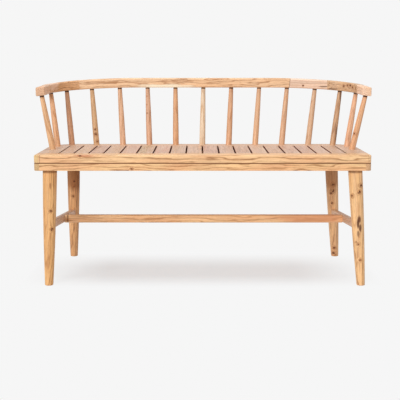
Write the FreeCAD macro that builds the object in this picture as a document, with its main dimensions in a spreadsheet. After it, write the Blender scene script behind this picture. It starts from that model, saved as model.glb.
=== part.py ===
import FreeCAD, Part
import math
import os

import Sketcher

# Spindle-back slatted bench in solid wood, millimetres.
# The origin is on the floor under the middle of the seat. Seen from the front, +X runs to the
# right, +Y to the back and +Z up, and left and right in the names are meant the same way.

SIZES = {
    # Seat: a slatted top frame on a lower apron frame
    "seat_width": 1160.0,
    "seat_depth": 430.0,
    "seat_height": 450.0,
    "top_thickness": 28.0,
    "apron_thickness": 26.0,
    "front_rail_width": 62.0,
    "back_rail_width": 70.0,
    "apron_board_width": 70.0,
    "apron_strip_width": 19.0,
    "rear_corner_radius": 105.0,
    "front_corner_radius": 12.0,
    "seat_edge_round": 4.0,
    "layer_edge_round": 2.0,
    # Slats between the front and back seat rails, the wide ones sharing what the rest leave
    "end_board_width": 74.7,
    "narrow_slat_width": 47.0,
    "slat_gap": 5.0,
    "slat_edge_round": 1.5,
    "tongue_thickness": 10.0,
    "tongue_length": 14.0,
    "groove_end_wall": 20.0,
    # Legs, each with its own lean because the bench is hand made
    "leg_top_diameter": 49.5,
    "foot_diameter": 27.6,
    "leg_bulge": 2.0,
    "foot_edge_round": 2.5,
    "leg_tenon_diameter": 32.0,
    "leg_setback": 38.0,
    "front_leg_side_inset": 49.5,
    "back_leg_side_inset": 82.5,
    "leg_rake": 61.0,
    "left_front_splay": 2.5,
    "right_front_splay": 19.0,
    "left_back_splay": 14.0,
    "right_back_splay": 32.0,
    # Stretchers
    "side_stretcher_height": 27.0,
    "side_stretcher_width": 22.0,
    "side_stretcher_front_z": 204.5,
    "side_stretcher_back_z": 180.5,
    "side_tenon_diameter": 16.0,
    "tenon_to_leg_axis": 4.0,
    "long_stretcher_height": 28.5,
    "long_stretcher_width": 24.0,
    "long_tenon_diameter": 13.0,
    "long_tenon_length": 14.0,
    "stretcher_edge_round": 5.0,
    # Spindles
    "last_foot_to_corner": 67.0,
    "last_top_to_corner": 45.8,
    "foot_line_back_inset": 30.0,
    "foot_line_side_inset": 33.0,
    "arm_spindle_foot_y": -2.0,
    "arm_spindle_top_y": 0.0,
    "corner_foot_angle": 22.0,
    "corner_top_angle": 27.0,
    "side_foot_angle": 88.0,
    "side_top_angle": 68.0,
    "spindle_foot_diameter": 22.4,
    "spindle_top_diameter": 15.2,
    "spindle_bulge": 0.9,
    "spindle_foot_tenon_diameter": 14.0,
    "wood_under_foot_tenon": 8.0,
    "spindle_top_tenon_diameter": 11.0,
    "wood_over_top_tenon": 15.0,
    # Bowed back and arm rail
    "rail_side_overhang": 7.0,
    "rail_shift_right": 4.0,
    "rail_back_overhang": 10.0,
    "rail_corner_radius": 110.0,
    "rail_arm_end_y": -31.0,
    "rail_width": 34.0,
    "rail_top_z": 704.0,
    "rail_height": 36.0,
    "rail_top_slope": 2.0,
    "rail_bottom_slope": 1.05,
    "rail_flat_half": 250.0,
    "rail_crown_radius": 3100.0,
    "rail_edge_round": 5.0,
    "joint_past_spindle": 9.0,
    "rail_back_joint_slant": 7.0,
    "corner_tail": 27.0,
    # Dowels inside the rail's glued joints
    "dowel_diameter": 8.0,
    "dowel_length": 40.0,
    "dowel_spread": 15.0,
    "dowel_drop": 9.0,
    # Screws that hold the apron frame up to the seat frame
    "screw_diameter": 4.5,
    "screw_head_diameter": 9.0,
    "screw_length": 38.0,
    "screw_edge_distance": 12.0,
    "strip_screw_pitch": 120.0,
    # Clearances, all measured on the radius or on one side
    "socket_clearance": 0.15,
    "socket_end_clearance": 0.5,
    "groove_clearance": 0.2,
}

WIDE_SLATS = 12
NARROW_SLATS_EACH_SIDE = 3
BACK_SPINDLES_EACH_SIDE = 4
SCREWS_EACH_SIDE = 3

# How far a tool or tenon runs on inside what it cuts or joins
OVERLAP = 10.0
# Half the reach of the blocks that divide the rail, beyond the whole bench
REACH = 1500.0
# Two faces whose normals' cosine is above this run on smoothly into each other
SMOOTH_COSINE = 0.9
# Two lengths or places closer than this are the same
TOUCHING = 0.001

# Values that follow from the driving sizes
DERIVED = {
    "top_underside": "seat_height - top_thickness",
    "apron_underside": "top_underside - apron_thickness",
    "half_width": "seat_width / 2",
    "half_depth": "seat_depth / 2",
    "slat_front_y": "front_rail_width - half_depth",
    "slat_back_y": "half_depth - back_rail_width",
    "slat_length": "slat_back_y - slat_front_y",
    "slat_middle_y": "(slat_front_y + slat_back_y) / 2",
    "slat_field_half": "half_width - end_board_width",
    "wide_slat_width": (
        f"(2 * slat_field_half - 2 * {NARROW_SLATS_EACH_SIDE} * narrow_slat_width"
        f" - ({WIDE_SLATS} + 2 * {NARROW_SLATS_EACH_SIDE} + 1) * slat_gap) / {WIDE_SLATS}"
    ),
    "tongue_rise": "(top_thickness - tongue_thickness) / 2",
    "spindle_foot_tenon_length": "top_thickness - wood_under_foot_tenon",
    "spindle_top_tenon_length": "rail_height - wood_over_top_tenon",
    "rail_half_span": "half_width + rail_side_overhang",
    "rail_back_y": "half_depth + rail_back_overhang",
    "rail_underside": "rail_top_z - rail_height",
    "rail_outer_half": "rail_half_span + rail_width / 2",
    "rail_outer_y": "rail_back_y + rail_width / 2",
    "rail_outer_radius": "rail_corner_radius + rail_width / 2",
    "rail_inner_half": "rail_half_span - rail_width / 2",
    "rail_inner_y": "rail_back_y - rail_width / 2",
    "rail_inner_radius": "rail_corner_radius - rail_width / 2",
    "top_corner_x": "rail_half_span - rail_corner_radius",
    "top_corner_y": "rail_back_y - rail_corner_radius",
    "foot_side_x": "half_width - foot_line_side_inset",
    "foot_back_y": "half_depth - foot_line_back_inset",
    "foot_corner_radius": "rear_corner_radius - foot_line_side_inset",
    "foot_corner_x": "half_width - rear_corner_radius",
    "foot_corner_y": "half_depth - rear_corner_radius",
    "back_foot_pitch": f"(foot_corner_x - last_foot_to_corner) / {BACK_SPINDLES_EACH_SIDE}",
    "back_top_pitch": f"(top_corner_x - last_top_to_corner) / {BACK_SPINDLES_EACH_SIDE}",
    "back_joint_x": f"({BACK_SPINDLES_EACH_SIDE} - 1) * back_top_pitch + joint_past_spindle",
    "arm_joint_y": "top_corner_y - corner_tail",
    "front_leg_half_span": "half_width - front_leg_side_inset",
    "back_leg_half_span": "half_width - back_leg_side_inset",
    "leg_top_y": "half_depth - leg_setback",
}

doc = FreeCAD.newDocument("spindle_back_bench")
sheet = doc.addObject("Spreadsheet::Sheet", "dims")
contents = {alias: str(number) for alias, number in SIZES.items()}
contents.update({alias: "=" + formula for alias, formula in DERIVED.items()})
for row, (alias, content) in enumerate(contents.items(), start=1):
    sheet.set(f"A{row}", alias)
    sheet.set(f"B{row}", content)
    sheet.setAlias(f"B{row}", alias)
doc.recompute()

kept = []


def size(alias):
    """The value of one size, read back from the sheet."""
    return float(sheet.get(alias))


def vector(x, y, z):
    return FreeCAD.Vector(x, y, z)


def bind(thing, **expressions):
    """Bind properties of an object to expressions of the sheet."""
    for prop, expression in expressions.items():
        thing.setExpression(prop.replace("__", "."), expression)


def keep(thing, label):
    """Give a finished sub-part its name."""
    thing.Label = label
    kept.append(thing)
    return thing


# Frames and axes

def along(start, end):
    """Placement whose local Z runs from start to end."""
    turn = FreeCAD.Rotation(vector(0, 0, 1), end - start)
    return FreeCAD.Placement(start, turn)


def lengthwise(start, end):
    """Placement whose local X runs from start to end, with its local Y kept level."""
    x_axis = (end - start).normalize()
    y_axis = vector(0, 0, 1).cross(x_axis).normalize()
    z_axis = x_axis.cross(y_axis)
    return FreeCAD.Placement(start, FreeCAD.Rotation(x_axis, y_axis, z_axis, "ZXY"))


def between(start, end, share):
    return start + (end - start) * share


# Building blocks

def box(name, length, width, height, x, y, z):
    """A block whose six values are expressions of the sheet."""
    block = doc.addObject("Part::Box", name)
    bind(block, Length=length, Width=width, Height=height)
    bind(block, Placement__Base__x=x, Placement__Base__y=y, Placement__Base__z=z)
    return block


def rod(name, radius, start, end):
    """A round rod from one point to another, its radius an expression of the sheet."""
    bar = doc.addObject("Part::Cylinder", name)
    bind(bar, Radius=radius)
    bar.Height = (end - start).Length
    bar.Placement = along(start, end)
    return bar


def fuse(name, shapes):
    joined = doc.addObject("Part::MultiFuse", name)
    joined.Shapes = shapes
    return joined


def cut(name, base, tool):
    carved = doc.addObject("Part::Cut", name)
    carved.Base = base
    carved.Tool = tool
    return carved


def common(name, base, tool):
    shared = doc.addObject("Part::Common", name)
    shared.Base = base
    shared.Tool = tool
    return shared


def group(name, solids):
    together = doc.addObject("Part::Compound", name)
    together.Links = solids
    return together


def plane_of(body, role):
    return [item for item in body.Origin.OriginFeatures if item.Role == role][0]


def sketch_on(body, role, name):
    sketch = body.newObject("Sketcher::SketchObject", name)
    sketch.AttachmentSupport = (plane_of(body, role), [""])
    sketch.MapMode = "FlatFace"
    return sketch


def close_outline(sketch, edges):
    """Draw a closed chain of edges and join the ends that meet."""
    for edge in edges:
        sketch.addGeometry(edge, False)
    for index in range(len(edges)):
        following = (index + 1) % len(edges)
        for own in (1, 2):
            for other in (1, 2):
                apart = sketch.getPoint(index, own) - sketch.getPoint(following, other)
                if apart.Length < TOUCHING:
                    sketch.addConstraint(
                        Sketcher.Constraint("Coincident", index, own, following, other))


def line(x0, y0, x1, y1):
    return Part.LineSegment(vector(x0, y0, 0), vector(x1, y1, 0))


def centred_rectangle(sketch, half_x, half_y, width, depth):
    """A rectangle about the sketch origin, its two sizes bound to the sheet."""
    close_outline(sketch, [
        line(-half_x, -half_y, half_x, -half_y),
        line(half_x, -half_y, half_x, half_y),
        line(half_x, half_y, -half_x, half_y),
        line(-half_x, half_y, -half_x, -half_y),
    ])
    for side in (0, 2):
        sketch.addConstraint(Sketcher.Constraint("Horizontal", side))
    for side in (1, 3):
        sketch.addConstraint(Sketcher.Constraint("Vertical", side))
    sketch.addConstraint(Sketcher.Constraint("Symmetric", 0, 1, 2, 1, -1, 1))
    across = sketch.addConstraint(Sketcher.Constraint("DistanceX", 0, 1, 0, 2, 2 * half_x))
    deep = sketch.addConstraint(Sketcher.Constraint("DistanceY", 1, 1, 1, 2, 2 * half_y))
    sketch.setExpression(f"Constraints[{across}]", width)
    sketch.setExpression(f"Constraints[{deep}]", depth)


def pad(body, sketch, name, length, midplane=False):
    slab = body.newObject("PartDesign::Pad", name)
    slab.Profile = sketch
    bind(slab, Length=length)
    if midplane:
        slab.SideType = "Symmetric"
    return slab


def round_edges(body, name, feature, chosen, radius):
    """A fillet on the edges of a body's last feature that pass a test."""
    doc.recompute()
    names = [f"Edge{n}" for n, edge in enumerate(feature.Shape.Edges, start=1) if chosen(edge)]
    rounding = body.newObject("PartDesign::Fillet", name)
    rounding.Base = (feature, names)
    bind(rounding, Radius=radius)
    body.Tip = rounding
    return rounding


def spans(edge):
    """The edge's box, as its lengths along X, Y and Z and its middle."""
    limits = edge.BoundBox
    return limits.XLength, limits.YLength, limits.ZLength, limits.Center


def is_upright(edge):
    across, deep, high, middle = spans(edge)
    return across < TOUCHING and deep < TOUCHING


def edge_lies_at(edge, height):
    across, deep, high, middle = spans(edge)
    return high < TOUCHING and abs(middle.z - height) < TOUCHING


half_width = size("half_width")
half_depth = size("half_depth")
apron_underside = size("apron_underside")


# Plan outlines of the two seat layers

def lies_on_front(edge):
    return abs(edge.BoundBox.Center.y + half_depth) < TOUCHING


def seat_outline(name, thickness, underside, top_round):
    """The rounded plan of the seat as one block, which trims every board of a layer."""
    body = doc.addObject("PartDesign::Body", name)
    plan = sketch_on(body, "XY_Plane", name + "_plan")
    centred_rectangle(plan, half_width, half_depth, "dims.seat_width", "dims.seat_depth")
    slab = pad(body, plan, name + "_slab", "dims." + thickness)
    rear = round_edges(body, name + "_rear_corners", slab,
                       lambda edge: is_upright(edge) and edge.BoundBox.Center.y > 0,
                       "dims.rear_corner_radius")
    front = round_edges(body, name + "_front_corners", rear,
                        lambda edge: is_upright(edge) and lies_on_front(edge),
                        "dims.front_corner_radius")
    upper = round_edges(body, name + "_upper_edge", front,
                        lambda edge: edge_lies_at(edge, size(thickness)), "dims." + top_round)
    round_edges(body, name + "_lower_edge", upper,
                lambda edge: edge_lies_at(edge, 0.0), "dims.layer_edge_round")
    bind(body, Placement__Base__z=underside)
    return body


top_outline = seat_outline("top_outline", "top_thickness", "dims.top_underside",
                           "seat_edge_round")
apron_outline = seat_outline("apron_outline", "apron_thickness", "dims.apron_underside",
                             "layer_edge_round")


# The bow: a level plan shape with upright sides, planed to a crown on its top and underside

def crown_drop(x):
    """How far the crown has fallen at a distance x from the rail's own middle."""
    past_flat = max(0.0, abs(x) - size("rail_flat_half"))
    radius = size("rail_crown_radius")
    return radius - math.sqrt(radius ** 2 - past_flat ** 2)


def rail_underside_at(x, y):
    """Height of the rail's underside above the floor, with x from the rail's own middle."""
    slope = math.radians(size("rail_bottom_slope"))
    drop = crown_drop(x)
    behind = y - size("rail_back_y") - drop * math.sin(slope)
    return size("rail_underside") + behind * math.tan(slope) - drop * math.cos(slope)


def rail_plan_block(side):
    """The tall block inside the rail's outer or inner line, with two rounded rear corners."""
    name = f"rail_{side}_line"
    half_span = f"rail_{side}_half"
    body = doc.addObject("PartDesign::Body", name)
    plan = sketch_on(body, "XY_Plane", name + "_plan")
    centred_rectangle(plan, size(half_span), size("seat_depth"),
                      f"2 * dims.{half_span}", "2 * dims.seat_depth")
    block = pad(body, plan, name + "_block",
                "dims.rail_top_z + dims.rail_height - dims.seat_height")
    round_edges(body, name + "_corners", block,
                lambda edge: is_upright(edge) and edge.BoundBox.Center.y > 0,
                f"dims.rail_{side}_radius")
    bind(body, Placement__Base__x="dims.rail_shift_right",
         Placement__Base__y=f"dims.rail_{side}_y - dims.seat_depth",
         Placement__Base__z="dims.seat_height")
    return body


rail_outside = rail_plan_block("outer")
rail_inside = rail_plan_block("inner")


def rail_plane_cutter(name, side, surface_z, slope):
    """Everything above (side 1) or below (side -1) the rail's crowned surface."""
    reach = size("rail_half_span") + size("rail_width")
    flat = size("rail_flat_half")
    radius = size("rail_crown_radius")
    fall = math.asin((reach - flat) / radius)
    drop = crown_drop(reach)
    far = side * size("seat_height")
    body = doc.addObject("PartDesign::Body", name)
    sketch = sketch_on(body, "XZ_Plane", name + "_profile")
    upright = vector(0, 0, 1)
    right_circle = Part.Circle(vector(flat, -radius, 0), upright, radius)
    left_circle = Part.Circle(vector(-flat, -radius, 0), upright, radius)
    quarter = math.pi / 2
    chain = [
        Part.ArcOfCircle(right_circle, quarter - fall, quarter),
        line(flat, 0, -flat, 0),
        Part.ArcOfCircle(left_circle, quarter, quarter + fall),
        line(-reach, -drop, -reach, far),
        line(-reach, far, reach, far),
        line(reach, far, reach, -drop),
    ]
    close_outline(sketch, chain)
    sketch.addConstraint(Sketcher.Constraint("Equal", 0, 2))
    bend = sketch.addConstraint(Sketcher.Constraint("Radius", 0, radius))
    sketch.setExpression(f"Constraints[{bend}]", "dims.rail_crown_radius")
    pad(body, sketch, name + "_slab", "4 * dims.seat_depth", midplane=True)
    turn = FreeCAD.Rotation(vector(1, 0, 0), size(slope))
    middle = vector(size("rail_shift_right"), size("rail_back_y"), surface_z)
    body.Placement = FreeCAD.Placement(middle, turn)
    return body


rail_over = rail_plane_cutter("rail_over", 1, size("rail_top_z"), "rail_top_slope")
rail_under = rail_plane_cutter("rail_under", -1, size("rail_underside"), "rail_bottom_slope")
rail_front_waste = box(
    "rail_front_waste", "4 * dims.seat_width", "4 * dims.seat_depth", "2 * dims.rail_top_z",
    "-2 * dims.seat_width", "dims.rail_arm_end_y - 4 * dims.seat_depth", "0")
rail_waste = fuse("rail_waste", [rail_inside, rail_over, rail_under, rail_front_waste])
rail_square = cut("rail_square", rail_outside, rail_waste)
doc.recompute()


def is_sharp(shape, edge):
    """True where two faces meet at a real corner, not where one runs on into the next."""
    faces = shape.ancestorsOfType(edge, Part.Face)
    middle = edge.valueAt((edge.FirstParameter + edge.LastParameter) / 2)
    normals = []
    for face in faces:
        u, v = face.Surface.parameter(middle)
        normals.append(face.normalAt(u, v))
    return len(normals) == 2 and abs(normals[0].dot(normals[1])) < SMOOTH_COSINE


def round_solid(name, base, radius, chosen):
    """A fillet of one radius on the chosen edges of a finished solid."""
    rounding = doc.addObject("Part::Fillet", name)
    rounding.Base = base
    rounding.Edges = [
        (n, radius, radius) for n, edge in enumerate(base.Shape.Edges, start=1) if chosen(edge)
    ]
    return rounding


rail_round = round_solid("rail_round", rail_square, size("rail_edge_round"),
                         lambda edge: is_sharp(rail_square.Shape, edge))
doc.recompute()


# Where each spindle stands and what it holds

def on_corner(line_name, radius_name, angle_name):
    """A point on the rounded corner of the foot line or of the rail's middle line."""
    turn = math.radians(size(angle_name))
    radius = size(radius_name)
    return (size(line_name + "_corner_x") + radius * math.sin(turn),
            size(line_name + "_corner_y") + radius * math.cos(turn))


half_row = [
    ("arm", (size("foot_side_x"), size("arm_spindle_foot_y")),
     (size("rail_half_span"), size("arm_spindle_top_y"))),
    ("side", on_corner("foot", "foot_corner_radius", "side_foot_angle"),
     on_corner("top", "rail_corner_radius", "side_top_angle")),
    ("corner", on_corner("foot", "foot_corner_radius", "corner_foot_angle"),
     on_corner("top", "rail_corner_radius", "corner_top_angle")),
]

stations = []
for place, foot, head in half_row:
    stations.append((f"spindle_left_{place}", -1, foot, head))
for step in range(-BACK_SPINDLES_EACH_SIDE, BACK_SPINDLES_EACH_SIDE + 1):
    number = step + BACK_SPINDLES_EACH_SIDE + 1
    foot = (step * size("back_foot_pitch"), size("foot_back_y"))
    head = (step * size("back_top_pitch"), size("rail_back_y"))
    stations.append((f"spindle_back_{number}", 1, foot, head))
for place, foot, head in reversed(half_row):
    stations.append((f"spindle_right_{place}", 1, foot, head))

spindle_ends = {}
for name, side, foot, head in stations:
    foot_point = vector(side * foot[0], foot[1], size("seat_height"))
    head_z = rail_underside_at(head[0], head[1])
    head_x = side * head[0] + size("rail_shift_right")
    spindle_ends[name] = (foot_point, vector(head_x, head[1], head_z))


def turned_profile(body, name, bottom_radius, top_radius, height, bulge, bottom, top):
    """Half of a turned shape: straight ends, and a side that swells by the bulge.

    bottom and top are the expressions of the two radii.
    """
    sketch = sketch_on(body, "XZ_Plane", name + "_profile")
    low = vector(bottom_radius, 0, 0)
    high = vector(top_radius, height, 0)
    middle = vector((bottom_radius + top_radius) / 2 + bulge, height / 2, 0)
    close_outline(sketch, [
        line(0, 0, bottom_radius, 0),
        Part.Arc(low, middle, high),
        line(top_radius, height, 0, height),
        line(0, height, 0, 0),
    ])
    sketch.addConstraint(Sketcher.Constraint("Horizontal", 0))
    sketch.addConstraint(Sketcher.Constraint("Horizontal", 2))
    sketch.addConstraint(Sketcher.Constraint("Coincident", 0, 1, -1, 1))
    sketch.addConstraint(Sketcher.Constraint("PointOnObject", 2, 2, -2))
    wide = sketch.addConstraint(Sketcher.Constraint("DistanceX", 0, 1, 0, 2, bottom_radius))
    slim = sketch.addConstraint(Sketcher.Constraint("DistanceX", 2, 2, 2, 1, top_radius))
    sketch.addConstraint(Sketcher.Constraint("DistanceY", 3, 2, 3, 1, height))
    sketch.setExpression(f"Constraints[{wide}]", bottom)
    sketch.setExpression(f"Constraints[{slim}]", top)
    turning = body.newObject("PartDesign::Revolution", name + "_turning")
    turning.Profile = sketch
    turning.ReferenceAxis = (sketch, ["V_Axis"])
    turning.Angle = 360.0
    return turning


below_seat_top = box("below_seat_top", "2 * dims.seat_width", "2 * dims.seat_depth",
                     "dims.seat_height", "-dims.seat_width", "-dims.seat_depth", "0")


def make_spindle(name):
    """A turned spindle, scribed to the seat below and to the rail above, with its two tenons."""
    foot, head = spindle_ends[name]
    axis = (head - foot).normalize()
    start = foot - axis * OVERLAP
    end = head + axis * OVERLAP
    length = (end - start).Length
    body = doc.addObject("PartDesign::Body", name + "_shaft")
    turned_profile(body, name, size("spindle_foot_diameter") / 2,
                   size("spindle_top_diameter") / 2, length, size("spindle_bulge"),
                   "dims.spindle_foot_diameter / 2", "dims.spindle_top_diameter / 2")
    body.Placement = along(start, end)
    scribed = cut(name + "_scribed", body, below_seat_top)
    fitted = cut(name + "_fitted", scribed, rail_square)
    lower = rod(name + "_lower_tenon", "dims.spindle_foot_tenon_diameter / 2",
                foot - axis * size("spindle_foot_tenon_length"), foot + axis * OVERLAP)
    upper = rod(name + "_upper_tenon", "dims.spindle_top_tenon_diameter / 2",
                head - axis * OVERLAP, head + axis * size("spindle_top_tenon_length"))
    return keep(fuse(name + "_whole", [fitted, lower, upper]), name)


def spindle_sockets(names, at_seat):
    """The holes that a set of spindles needs, in the seat or in the rail."""
    holes = []
    spare = size("socket_end_clearance")
    for name in names:
        foot, head = spindle_ends[name]
        axis = (head - foot).normalize()
        if at_seat:
            depth = size("spindle_foot_tenon_length") + spare
            holes.append(rod(name + "_seat_socket",
                             "dims.spindle_foot_tenon_diameter / 2 + dims.socket_clearance",
                             foot - axis * depth, foot + axis * OVERLAP))
        else:
            depth = size("spindle_top_tenon_length") + spare
            holes.append(rod(name + "_rail_socket",
                             "dims.spindle_top_tenon_diameter / 2 + dims.socket_clearance",
                             head - axis * OVERLAP, head + axis * depth))
    return holes


spindle_names = [station[0] for station in stations]
for spindle_name in spindle_names:
    make_spindle(spindle_name)


# Legs

legs = {}
for side, side_name in ((-1, "left"), (1, "right")):
    for row, row_name in ((-1, "front"), (1, "back")):
        top_x = side * size(f"{row_name}_leg_half_span")
        top_y = row * size("leg_top_y")
        foot_x = top_x + side * size(f"{side_name}_{row_name}_splay")
        foot_y = top_y + row * size("leg_rake")
        legs[f"leg_{row_name}_{side_name}"] = (
            vector(foot_x, foot_y, 0), vector(top_x, top_y, apron_underside))


def leg_axis_at(name, height):
    """The point of a leg's axis at one height above the floor."""
    foot, top = legs[name]
    return between(foot, top, height / apron_underside)


below_floor = box("below_floor", "2 * dims.seat_width", "4 * dims.seat_depth", "dims.seat_height",
                  "-dims.seat_width", "-2 * dims.seat_depth", "-dims.seat_height")
above_legs = box("above_legs", "2 * dims.seat_width", "4 * dims.seat_depth", "dims.seat_height",
                 "-dims.seat_width", "-2 * dims.seat_depth", "dims.apron_underside")
above_tenons = box("above_tenons", "2 * dims.seat_width", "4 * dims.seat_depth",
                   "dims.seat_height", "-dims.seat_width", "-2 * dims.seat_depth",
                   "dims.top_underside - dims.socket_end_clearance")
leg_waste = fuse("leg_waste", [below_floor, above_legs])


def make_leg_shaft(name):
    """A turned leg cut level at the floor and at the seat's underside."""
    foot, top = legs[name]
    axis = (top - foot).normalize()
    start = foot - axis * OVERLAP
    end = top + axis * OVERLAP
    body = doc.addObject("PartDesign::Body", name + "_turned")
    turned_profile(body, name, size("foot_diameter") / 2, size("leg_top_diameter") / 2,
                   (end - start).Length, size("leg_bulge"),
                   "dims.foot_diameter / 2", "dims.leg_top_diameter / 2")
    body.Placement = along(start, end)
    level = cut(name + "_level", body, leg_waste)
    doc.recompute()
    return round_solid(name + "_shaft", level, size("foot_edge_round"),
                       lambda edge: edge_lies_at(edge, 0.0))


leg_shafts = {name: make_leg_shaft(name) for name in legs}


def leg_tenon(name, suffix, radius):
    """The round tenon on top of a leg, or its socket, through the apron and on past it."""
    foot, top = legs[name]
    axis = (top - foot).normalize()
    tip = top + axis * (size("apron_thickness") + OVERLAP)
    return rod(name + suffix, radius, top - axis * OVERLAP, tip)


# Stretchers

side_ends = {}
for side_name in ("left", "right"):
    side_ends[side_name] = (
        leg_axis_at(f"leg_front_{side_name}", size("side_stretcher_front_z")),
        leg_axis_at(f"leg_back_{side_name}", size("side_stretcher_back_z")))


def make_bar(name, kind, start, end):
    """A straight bar with rounded edges: kind is the sheet's prefix for its section."""
    width = kind + "_width"
    height = kind + "_height"
    body = doc.addObject("PartDesign::Body", name + "_bar")
    section = sketch_on(body, "YZ_Plane", name + "_section")
    centred_rectangle(section, size(width) / 2, size(height) / 2,
                      "dims." + width, "dims." + height)
    length = (end - start).Length
    stick = body.newObject("PartDesign::Pad", name + "_stick")
    stick.Profile = section
    stick.Length = length
    round_edges(body, name + "_rounding", stick,
                lambda edge: abs(edge.Length - length) < TOUCHING,
                "dims.stretcher_edge_round")
    body.Placement = lengthwise(start, end)
    return body


side_bars = {
    side_name: make_bar(f"side_stretcher_{side_name}", "side_stretcher", *ends)
    for side_name, ends in side_ends.items()}


def side_tenon(side_name, row_name, suffix, radius, spare):
    """One end's round tenon, or its socket where spare brings it nearer the leg's axis."""
    start, end = side_ends[side_name]
    if row_name == "back":
        start, end = end, start
    axis = (end - start).normalize()
    inner = start + axis * (size("tenon_to_leg_axis") - spare)
    outer = start + axis * (size("leg_top_diameter") / 2 + OVERLAP)
    return rod(f"side_stretcher_{side_name}_{row_name}{suffix}", radius, inner, outer)


def long_bar_end(side_name):
    return between(*side_ends[side_name], 0.5)


left_middle = long_bar_end("left")
right_middle = long_bar_end("right")
long_axis = (right_middle - left_middle).normalize()


def long_tenon(side_name, suffix, radius, spare):
    """A tenon of the long stretcher, or its socket where spare deepens it."""
    middle = left_middle if side_name == "left" else right_middle
    inward = long_axis if side_name == "left" else -long_axis
    half_side = size("side_stretcher_width") / 2
    tip = middle + inward * (half_side - size("long_tenon_length") - spare)
    return rod(f"long_stretcher_{side_name}{suffix}", radius, tip,
               middle + inward * (half_side + OVERLAP))


def side_zone(side_name):
    """Everything from a side stretcher's inner face outwards."""
    start, end = side_ends[side_name]
    zone = doc.addObject("Part::Box", f"side_zone_{side_name}")
    zone.Length = (end - start).Length
    zone.Width = size("seat_depth")
    zone.Height = size("seat_height")
    half_side = size("side_stretcher_width") / 2
    across = -half_side if side_name == "left" else half_side - size("seat_depth")
    shift = FreeCAD.Placement(vector(0, across, -size("seat_height") / 2), FreeCAD.Rotation())
    zone.Placement = lengthwise(start, end).multiply(shift)
    return zone


long_coped = cut("long_stretcher_coped",
                 make_bar("long_stretcher", "long_stretcher", left_middle, right_middle),
                 fuse("side_zones", [side_zone(side_name) for side_name in side_ends]))
keep(fuse("long_stretcher_whole",
          [long_coped] + [long_tenon(side_name, "_tenon", "dims.long_tenon_diameter / 2", 0.0)
                          for side_name in side_ends]), "long_stretcher")

for side_name, bar in side_bars.items():
    name = f"side_stretcher_{side_name}"
    pair = fuse(name + "_legs", [leg_shafts[f"leg_front_{side_name}"],
                                 leg_shafts[f"leg_back_{side_name}"]])
    coped = cut(name + "_coped", bar, pair)
    tenons = [side_tenon(side_name, row_name, "_tenon", "dims.side_tenon_diameter / 2", 0.0)
              for row_name in ("front", "back")]
    tenoned = fuse(name + "_tenoned", [coped] + tenons)
    socket = long_tenon(side_name, "_socket",
                        "dims.long_tenon_diameter / 2 + dims.socket_clearance",
                        size("socket_end_clearance"))
    keep(cut(name + "_whole", tenoned, socket), name)

for name, shaft in leg_shafts.items():
    row_name, side_name = name.split("_")[1:]
    socket = side_tenon(side_name, row_name, "_socket",
                        "dims.side_tenon_diameter / 2 + dims.socket_clearance",
                        size("socket_end_clearance"))
    drilled = cut(name + "_drilled", shaft, socket)
    tenon = leg_tenon(name, "_tenon", "dims.leg_tenon_diameter / 2")
    keep(cut(name + "_whole", fuse(name + "_tenoned", [drilled, tenon]), above_tenons), name)


# Screws up through the apron frame

def screw_places():
    """Plan positions of all screws: rows along front and back, pairs in the end strips.

    Those of the rows stand midway between two spindles, at every second space.
    """
    places = []
    row_y = half_depth - size("screw_edge_distance")
    for row in (-1, 1):
        for step in range(SCREWS_EACH_SIDE):
            x = (2 * step + 0.5) * size("back_foot_pitch")
            for side in (-1, 1):
                places.append((side * x, row * row_y))
    strip_x = half_width - size("apron_strip_width") / 2
    for side in (-1, 1):
        for row in (-1, 1):
            places.append((side * strip_x, row * size("strip_screw_pitch") / 2))
    return places


def screw_solid(name, x, y, spare, spare_name):
    """A countersunk screw, or its pilot hole where spare widens it."""
    head_radius = f"dims.screw_head_diameter / 2 + {spare_name}"
    shank_radius = f"dims.screw_diameter / 2 + {spare_name}"
    head_height = (size("screw_head_diameter") - size("screw_diameter")) / 2
    foot = vector(x, y, apron_underside)
    head = doc.addObject("Part::Cone", name + "_head")
    bind(head, Radius1=head_radius, Radius2=shank_radius)
    head.Height = head_height
    head.Placement = FreeCAD.Placement(foot, FreeCAD.Rotation())
    shank = rod(name + "_shank", shank_radius, foot + vector(0, 0, head_height / 2),
                foot + vector(0, 0, size("screw_length") + spare))
    return fuse(name, [head, shank])


screws = []
screw_holes = []
for number, (x, y) in enumerate(screw_places(), start=1):
    screws.append(screw_solid(f"screw_{number}", x, y, 0.0, "0"))
    screw_holes.append(screw_solid(f"screw_hole_{number}", x, y, size("socket_end_clearance"),
                                   "dims.socket_clearance"))
keep(group("screw_set", screws), "apron_screws")


# Seat frame

leg_sockets = {
    name: leg_tenon(name, "_socket", "dims.leg_tenon_diameter / 2 + dims.socket_clearance")
    for name in legs}

GROOVE_HEIGHT = "dims.tongue_thickness + 2 * dims.groove_clearance"
GROOVE_DEPTH = "dims.tongue_length + dims.socket_end_clearance"
GROOVE_Z = "dims.top_underside + dims.tongue_rise - dims.groove_clearance"
GROOVE_LENGTH = "dims.seat_width - 2 * dims.groove_end_wall"

front_groove = box("front_groove", GROOVE_LENGTH, GROOVE_DEPTH, GROOVE_HEIGHT,
                   "dims.groove_end_wall - dims.half_width",
                   f"dims.slat_front_y - ({GROOVE_DEPTH})", GROOVE_Z)
back_groove = box("back_groove", GROOVE_LENGTH, GROOVE_DEPTH, GROOVE_HEIGHT,
                  "dims.groove_end_wall - dims.half_width", "dims.slat_back_y", GROOVE_Z)


def frame_board(label, block, outline, holes):
    """One board of a seat layer: sawn, drilled, then rounded with the rest of its layer."""
    trimmed = common(label + "_trimmed", block, outline)
    keep(cut(label + "_board", trimmed, fuse(label + "_holes", holes)), label)


def on_side(row):
    """The screw holes of the front (-1) or back (1) row."""
    row_y = row * (half_depth - size("screw_edge_distance"))
    return [hole for hole, (x, y) in zip(screw_holes, screw_places())
            if abs(y - row_y) < TOUCHING]


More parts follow.
